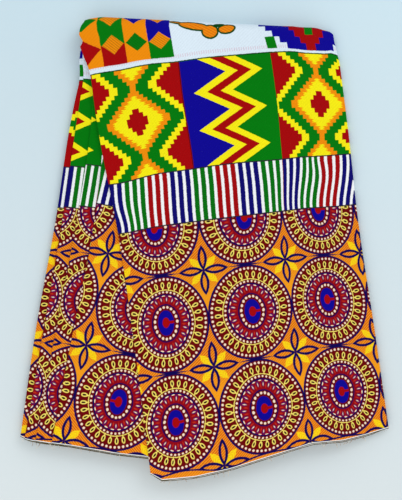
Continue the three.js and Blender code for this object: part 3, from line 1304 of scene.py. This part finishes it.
def top_group():
    tree, (along, v) = start_group("top band", ("W", "V"))
    w = worked("WRAP", along, TOP_REPEAT + TOP_BAND_START, TOP_BAND_START)
    dashes = both(hatched(w, *DASHES), between(v, *DASHES_V))
    # The top band's ground is white tinted blue: painted bluish light from the back.
    colour = painted(tree, BLUE_LIT_TOP_WHITE, FAINT_PINK, dashes * DASH_INK)
    colour = big_diamond(tree, colour, w, v)
    left, right, low, high = GREEN_BLOCK
    upright_w = w + (v - low) * GREEN_BLOCK_LEAN
    block = both(between(upright_w, left, right), between(v, low, high))
    colour = painted(tree, colour, GREEN, block)
    around = leaf_shapes(w, v, SPRIG_LEAVES, SPRIG_OUTLINE)
    colour = painted(tree, colour, DEEP_GREEN, around)
    vein = hatched(w * SPRIG_VEIN_SLANT + v, *SPRIG_VEINS)
    leaf = painted(tree, ORANGE, HATCH_ORANGE, vein * SPRIG_VEIN_INK)
    colour = painted(tree, colour, leaf, leaf_shapes(w, v, SPRIG_LEAVES, 0.0))
    colour = painted(tree, colour, DEEP_GREEN, leaf_shapes(w, v, (SPRIG_BUD,), 0.0))
    checks = both(between(w, CHECKS_START, CHECKS_END), above(v, CHECKS_START_V))
    return end_group(tree, painted(tree, colour, checks_colour(tree, w, v), checks))


top_band = top_group()

# %% [markdown]
# ## The zones of the print
# From the finished edge to the turned end, the zones of the print are laid over each other. They
# could be painted as separate materials, but a zone's border runs through the faces, so one colour
# is worked out for every point. The outlines waver by less than a millimetre, as ink does on
# threads.

# %% The zones of the print
STRIPES_V = 308.0
BLOCKS_V = 374.0
TOP_V = 514.0
# Thin lines where two zones meet: their v and ink.
ZONE_LINES = ((STRIPES_V, EDGE_DARK), (BLOCKS_V, EDGE_DARK), (TOP_V - 0.6, DEEP_GREEN))
ZONE_LINE_HALF = 0.75
# The thin line between the diamonds and the zigzags.
COLUMN_LINE = (COLUMN_BREAK - 1.0, COLUMN_BREAK + 0.6)
# The outermost strip of each cut edge, this wide, is painted shade in dark olive; the white
# selvedge lies inside it.
SHADED_EDGE_WIDTH = 0.9
SELVEDGE = 1.7
CUT_EDGE_SOFT = 0.3
WAVER = 0.5
WAVER_SCALE = 420.0
WAVER_DETAIL = 1.0


def place_on_map(tree, name):
    node = tree.nodes.new("ShaderNodeUVMap")
    node.uv_map = name
    parts = tree.nodes.new("ShaderNodeSeparateXYZ")
    tree.links.new(node.outputs["UV"], parts.inputs[0])
    first = Reading(tree, parts.outputs[0]) / MM
    second = Reading(tree, parts.outputs[1]) / MM
    return node, first, second


def noise_on(tree, coordinates, scale, detail=2.0):
    node = tree.nodes.new("ShaderNodeTexNoise")
    node.inputs["Scale"].default_value = scale
    node.inputs["Detail"].default_value = detail
    tree.links.new(coordinates, node.inputs["Vector"])
    return node.outputs


def wavered(tree, coordinates, *values):
    noise = noise_on(tree, coordinates, WAVER_SCALE, WAVER_DETAIL)
    parts = tree.nodes.new("ShaderNodeSeparateColor")
    tree.links.new(noise["Color"], parts.inputs[0])
    moved = []
    for value, socket in zip(values, (parts.outputs[0], parts.outputs[1], parts.outputs[0])):
        moved.append(value + (Reading(tree, socket) - 0.5) * (2 * WAVER))
    return moved


def print_colour(tree, u, v, w, edge):
    colour = use_group(tree, ground, u, v)
    colour = painted(tree, colour, use_group(tree, stripes, w, v), above(v, STRIPES_V))
    in_block = worked("WRAP", w - BLOCK_START, BLOCK_LENGTH, 0.0)
    block = use_group(tree, diamonds, in_block, v)
    beside = use_group(tree, zigzag, in_block - COLUMN_BREAK, v)
    block = painted(tree, block, beside, above(in_block, COLUMN_BREAK))
    block = painted(tree, block, DARK_RED, between(in_block, *COLUMN_LINE))
    colour = painted(tree, colour, block, above(v, BLOCKS_V))
    colour = painted(tree, colour, use_group(tree, top_band, w, v), above(v, TOP_V))
    for line_v, ink in ZONE_LINES:
        colour = painted(tree, colour, ink, below(size_of(v - line_v), ZONE_LINE_HALF))
    colour = painted(tree, colour, WHITE, below(edge, SELVEDGE, CUT_EDGE_SOFT))
    # The thin dark olive strip right at the cut edge is painted shade.
    return painted(tree, colour, SHADED_EDGE_OLIVE, below(edge, SHADED_EDGE_WIDTH, CUT_EDGE_SOFT))


# %% [markdown]
# ## The surface of the cotton
# A plain weave is pressed into the surface as a small bump, and slanting ribs of a slightly darker
# shade run through the colours. A painted material would need a second image for them, and here
# they come from the same u and v as the print. The cotton has a faint sheen.

# %% The surface of the cotton
BLACK = (0, 0, 0)
THREAD_PITCH = 0.7
# The slanting ribs: how they run over u and v, where on its wave each begins, and how softly.
TWILL_PITCH = 3.2
TWILL_RUN = (0.62, 0.78)
TWILL_START = 0.1
TWILL_SOFT = 1.4
TWILL_SHADE = 0.045
TWILL_RELIEF = 0.8
SHADE_SCALE = 14.0
SHADE_DEPTH = 0.09
FIBRE_SCALE = 900.0
FIBRE_DETAIL = 3.0
WEAVE_BUMP = 0.00012
BUMP_STRENGTH = 0.55
LEAST_ROUGHNESS = 0.8
ROUGHNESS_DRIFT = 0.12
COTTON_SPECULAR = 0.06
COTTON_SHEEN = 0.012
SHEEN_ROUGHNESS = 0.45


def start_material(name):
    material = bpy.data.materials.new(name)
    material.use_nodes = True
    tree = material.node_tree
    return material, tree, tree.nodes["Principled BSDF"].inputs


def cotton_material():
    material, tree, shader = start_material("printed cotton")
    node, u, v = place_on_map(tree, "print")
    _, w, edge = place_on_map(tree, "bands")
    coordinates = node.outputs["UV"]
    moved_u, moved_v, moved_w = wavered(tree, coordinates, u, v, w)
    colour = print_colour(tree, moved_u, moved_v, moved_w, edge)
    twill = waves(u * TWILL_RUN[0] - v * TWILL_RUN[1], TWILL_PITCH)
    ribs = above(twill, TWILL_START, TWILL_SOFT) * TWILL_SHADE
    colour = painted(tree, colour, BLACK, ribs)
    shade = Reading(tree, noise_on(tree, coordinates, SHADE_SCALE)[0])
    colour = painted(tree, colour, BLACK, shade * SHADE_DEPTH)
    connect(tree, colour, shader["Base Color"])
    weave = waves(u, THREAD_PITCH) * waves(v, THREAD_PITCH)
    fibres = Reading(tree, noise_on(tree, coordinates, FIBRE_SCALE, FIBRE_DETAIL)[0])
    bump = tree.nodes.new("ShaderNodeBump")
    bump.inputs["Strength"].default_value = BUMP_STRENGTH
    bump.inputs["Distance"].default_value = WEAVE_BUMP
    connect(tree, weave + twill * TWILL_RELIEF + fibres, bump.inputs["Height"])
    connect(tree, bump.outputs["Normal"], shader["Normal"])
    connect(tree, fibres * ROUGHNESS_DRIFT + LEAST_ROUGHNESS, shader["Roughness"])
    shader["Specular IOR Level"].default_value = COTTON_SPECULAR
    shader["Sheen Weight"].default_value = COTTON_SHEEN
    shader["Sheen Roughness"].default_value = SHEEN_ROUGHNESS
    print("the cotton material has", len(tree.nodes), "nodes beside its groups")
    return material


cloth.data.materials.append(cotton_material())

# %% [markdown]
# ## Loose threads along the cut edges
# A cut edge of cotton sheds short threads. They could be modelled one by one, but Geometry Nodes
# can set them along the edge: the edge line becomes points, a few of the points are kept by a
# fixed seed, and each gets a short bent thread, turned and scaled at random.

# %% The lines of the cut edges
# The levels whose edges show, and the part of each edge that carries threads.
THREAD_EDGES = ((9, 0.0, 1.0), (7, 0.0, 0.42), (5, 0.02, 0.12), (3, 0.02, 0.1), (1, 0.0, 0.06))
THREAD_INSET = 0.2


def edge_points():
    points = []
    lines = []
    for level, start, end in THREAD_EDGES:
        columns = [c for c in section if c["level"] == level and "fold_to" not in c]
        columns.sort(key=lambda column: float(column_x(column, 0.0)))
        left = float(column_x(columns[0], 0.0))
        right = float(column_x(columns[-1], 0.0))
        first = len(points)
        for column in columns:
            share = (float(column_x(column, 0.0)) - left) / (right - left)
            if start <= share <= end:
                x, y, z = half_of_column(column, np.array([0.0]), True, 0)
                points.append([float(x[0]), float(y[0]) + THREAD_INSET, float(z[0])])
        lines += [(i, i + 1) for i in range(first, len(points) - 1)]
    return (np.array(points) - MIDDLE) * MM, lines


thread_points, thread_lines = edge_points()
print("the cut edges that show have", len(thread_points), "points")

# %% The tree that sets the threads
# Each of the tree's sizes: its name, kind and value, in metres.
THREAD_INPUTS = (
    ("Spacing", "NodeSocketFloat", 0.003),
    ("Thread length", "NodeSocketFloat", 0.007),
    ("Thread radius", "NodeSocketFloat", 0.0002),
    ("Seed", "NodeSocketInt", 7),
)
THREADS_KEPT = 0.42
# A thread one unit long is bent through these points.
THREAD_BEND = {"Start": (0.0, 0.0, 0.0), "Middle": (0.25, -0.5, 0.06), "End": (0.05, -1.0, -0.12)}
THREAD_PARTS = 6
THREAD_SIDES = 4
# Between which values a thread's tilt, turn and share of the length are drawn.
THREAD_TILT = (-0.35, 0.25)
THREAD_TURN = (-1.1, 1.1)
THREAD_SHARE = (0.25, 1.25)


def add_inputs(tree):
    tree.interface.new_socket("Geometry", in_out="INPUT", socket_type="NodeSocketGeometry")
    found = {}
    for label, kind in [row[:2] for row in THREAD_INPUTS] + [("Material", "NodeSocketMaterial")]:
        socket = tree.interface.new_socket(label, in_out="INPUT", socket_type=kind)
        found[label] = socket.identifier
    tree.interface.new_socket("Geometry", in_out="OUTPUT", socket_type="NodeSocketGeometry")
    return found


def node_adder(tree):
    def add(kind, inputs, output=0, **settings):
        node = tree.nodes.new(kind)
        for name, value in settings.items():
            setattr(node, name, value)
        for name, value in inputs.items():
            connect(tree, value, node.inputs[name])
        return node.outputs[output]

    return add


def random_number(add, seed, ends, extra):
    own_seed = add("ShaderNodeMath", {0: seed, 1: extra}, operation="ADD")
    drawn = {2: ends[0], 3: ends[1], "Seed": own_seed}
    return add("FunctionNodeRandomValue", drawn, output=1, data_type="FLOAT")


def thread_tree():
    tree = bpy.data.node_groups.new("loose threads", "GeometryNodeTree")
    names = add_inputs(tree)
    add = node_adder(tree)
    given = tree.nodes.new("NodeGroupInput").outputs
    length = given["Thread length"]
    seed = given["Seed"]
    edge = add("GeometryNodeMeshToCurve", {0: given["Geometry"]})
    spaced = {"Curve": edge, "Length": given["Spacing"]}
    points = add("GeometryNodeCurveToPoints", spaced, mode="LENGTH")
    path = add("GeometryNodeCurveQuadraticBezier", {"Resolution": THREAD_PARTS, **THREAD_BEND})
    radius = add("ShaderNodeMath", {0: given["Thread radius"], 1: length}, operation="DIVIDE")
    round_line = {"Resolution": THREAD_SIDES, "Radius": radius}
    ring = add("GeometryNodeCurvePrimitiveCircle", round_line, mode="RADIUS")
    tube = {"Curve": path, "Profile Curve": ring, "Fill Caps": True}
    thread = add("GeometryNodeCurveToMesh", tube)
    chance = {"Probability": THREADS_KEPT, "Seed": seed}
    kept = add("FunctionNodeRandomValue", chance, output=3, data_type="BOOLEAN")
    tilt = random_number(add, seed, THREAD_TILT, 1)
    turn = random_number(add, seed, THREAD_TURN, 2)
    share = random_number(add, seed, THREAD_SHARE, 3)
    angles = add("ShaderNodeCombineXYZ", {"X": tilt, "Z": turn})
    scale = add("ShaderNodeMath", {0: share, 1: length}, operation="MULTIPLY")
    placed = {"Points": points, "Selection": kept, "Instance": thread}
    placed.update({"Rotation": angles, "Scale": scale})
    copies = add("GeometryNodeInstanceOnPoints", placed)
    plain = add("GeometryNodeRealizeInstances", {0: copies})
    finished = {"Geometry": plain, "Material": given["Material"]}
    finished = add("GeometryNodeSetMaterial", finished)
    tree.links.new(finished, tree.nodes.new("NodeGroupOutput").inputs[0])
    return tree, names


threads_tree, thread_inputs = thread_tree()
print("the thread tree has inputs", list(thread_inputs))

# %% The threads as one plain piece
THREAD_PALE = (226, 218, 202)
THREAD_BROWN = (150, 96, 40)
THREAD_SHADE_SCALE = 160.0
BROWN_START = 0.52
BROWN_SOFT = 0.12
THREAD_ROUGHNESS = 0.7
THREAD_ROUGHNESS_DRIFT = 0.2


def thread_material():
    material, tree, shader = start_material("cotton thread")
    place = tree.nodes.new("ShaderNodeTexCoord").outputs["Object"]
    shade = Reading(tree, noise_on(tree, place, THREAD_SHADE_SCALE)[0])
    brown = above(shade, BROWN_START, BROWN_SOFT)
    connect(tree, painted(tree, THREAD_PALE, THREAD_BROWN, brown), shader["Base Color"])
    connect(tree, shade * THREAD_ROUGHNESS_DRIFT + THREAD_ROUGHNESS, shader["Roughness"])
    return material


def plain_mesh_of(piece, name):
    graph = bpy.context.evaluated_depsgraph_get()
    mesh = bpy.data.meshes.new_from_object(piece.evaluated_get(graph))
    mesh.name = name
    plain = bpy.data.objects.new(name, mesh)
    bpy.context.scene.collection.objects.link(plain)
    bpy.data.objects.remove(piece)
    return plain


def make_threads():
    mesh = bpy.data.meshes.new("cut edges")
    mesh.from_pydata(thread_points.tolist(), thread_lines, [])
    lines = bpy.data.objects.new("cut edges", mesh)
    bpy.context.scene.collection.objects.link(lines)
    modifier = lines.modifiers.new("loose threads", "NODES")
    modifier.node_group = threads_tree
    for label, _, value in THREAD_INPUTS:
        modifier[thread_inputs[label]] = value
    modifier[thread_inputs["Material"]] = thread_material()
    return plain_mesh_of(lines, "loose_threads")


threads = make_threads()
print("the loose threads have", len(threads.data.polygons), "faces")

# %% [markdown]
# ## The surface under the cloth
# The cloth lies on a plain painted board, pale grey at the front; its bluer back is painted bluish
# light.
# A flat colour would look like paper, so its shade drifts slowly and it has a very fine grain.

# %% The surface under the cloth
FLOOR_HALF = 6.0
# The bluer colour at the back is painted bluish light from the back.
FLOOR_FRONT = (213, 219, 220)
FLOOR_BACK_BLUE_LIGHT = (200, 226, 238)
BLUE_LIGHT_GRADE = 0.8
# The slow drift and the fine grain of the paint: scale of the noise, colour and strength.
FLOOR_DRIFT = (2.2, (208, 222, 230), 0.3)
FLOOR_GRAIN = (140.0, (232, 238, 242), 0.1)
FLOOR_ROUGHNESS = 0.55
FLOOR_ROUGHNESS_DRIFT = 0.1
FLOOR_SPECULAR = 0.2


def floor_material():
    material, tree, shader = start_material("painted board")
    place = tree.nodes.new("ShaderNodeTexCoord").outputs["Object"]
    parts = tree.nodes.new("ShaderNodeSeparateXYZ")
    tree.links.new(place, parts.inputs[0])
    away = Reading(tree, parts.outputs[1])
    # Painted bluish light: the board turns bluer towards the back.
    colour = painted(tree, FLOOR_FRONT, FLOOR_BACK_BLUE_LIGHT, above(away, 0.0, BLUE_LIGHT_GRADE))
    for scale, shade, strength in (FLOOR_DRIFT, FLOOR_GRAIN):
        noise = Reading(tree, noise_on(tree, place, scale)[0])
        colour = painted(tree, colour, shade, noise * strength)
    connect(tree, colour, shader["Base Color"])
    connect(tree, noise * FLOOR_ROUGHNESS_DRIFT + FLOOR_ROUGHNESS, shader["Roughness"])
    shader["Specular IOR Level"].default_value = FLOOR_SPECULAR
    return material


floor_corners = np.array([(-1, -1, 0), (1, -1, 0), (1, 1, 0), (-1, 1, 0)]) * FLOOR_HALF
floor = mesh_from("floor", floor_corners, np.array([(0, 1, 2, 3)]))
floor.data.materials.append(floor_material())
print("the floor is", 2 * FLOOR_HALF, "m wide")

# %% [markdown]
# ## Light
# The shadows in the photograph are soft and fall to the left and towards the viewer. A sun lamp
# would make them hard, so one soft area light stands up on the right behind the cloth. A larger
# and warmer one in front lightens the shadow under the finished edges, and a pale room adds the
# rest.

# %% Light
# Each light: its place, its strength in watts, its width in metres and its colour.
LIGHTS = {
    "back light": ((0.85, 0.75, 1.35), 5.0, 0.8, (1.0, 0.99, 0.97)),
    "front light": ((-0.25, -1.3, 1.0), 9.0, 1.2, (1.0, 0.94, 0.86)),
}
ROOM_COLOUR = (0.95, 0.98, 1.0, 1.0)
ROOM_STRENGTH = 0.79


def area_light(name, place, watts, width, colour):
    data = bpy.data.lights.new(name, "AREA")
    data.energy = watts
    data.size = width
    data.color = colour
    light = bpy.data.objects.new(name, data)
    light.location = place
    light.rotation_euler = Vector(place).to_track_quat("Z", "Y").to_euler()
    bpy.context.scene.collection.objects.link(light)


for name, (place, watts, width, colour) in LIGHTS.items():
    area_light(name, place, watts, width, colour)
    print(name, watts, "W")
world = bpy.data.worlds.new("pale room")
world.use_nodes = True
room = world.node_tree.nodes["Background"]
room.inputs["Color"].default_value = ROOM_COLOUR
room.inputs["Strength"].default_value = ROOM_STRENGTH
bpy.context.scene.world = world
bpy.context.scene.view_settings.view_transform = "Standard"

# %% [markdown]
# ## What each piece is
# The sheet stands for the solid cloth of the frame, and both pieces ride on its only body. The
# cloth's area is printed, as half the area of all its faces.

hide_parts("cloth")
for piece in (cloth, threads):
    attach(piece, "root")
cloth_area = sum(face.area for face in cloth.data.polygons) / 2
print("the cloth's area is", round(cloth_area, 3), "square metres")
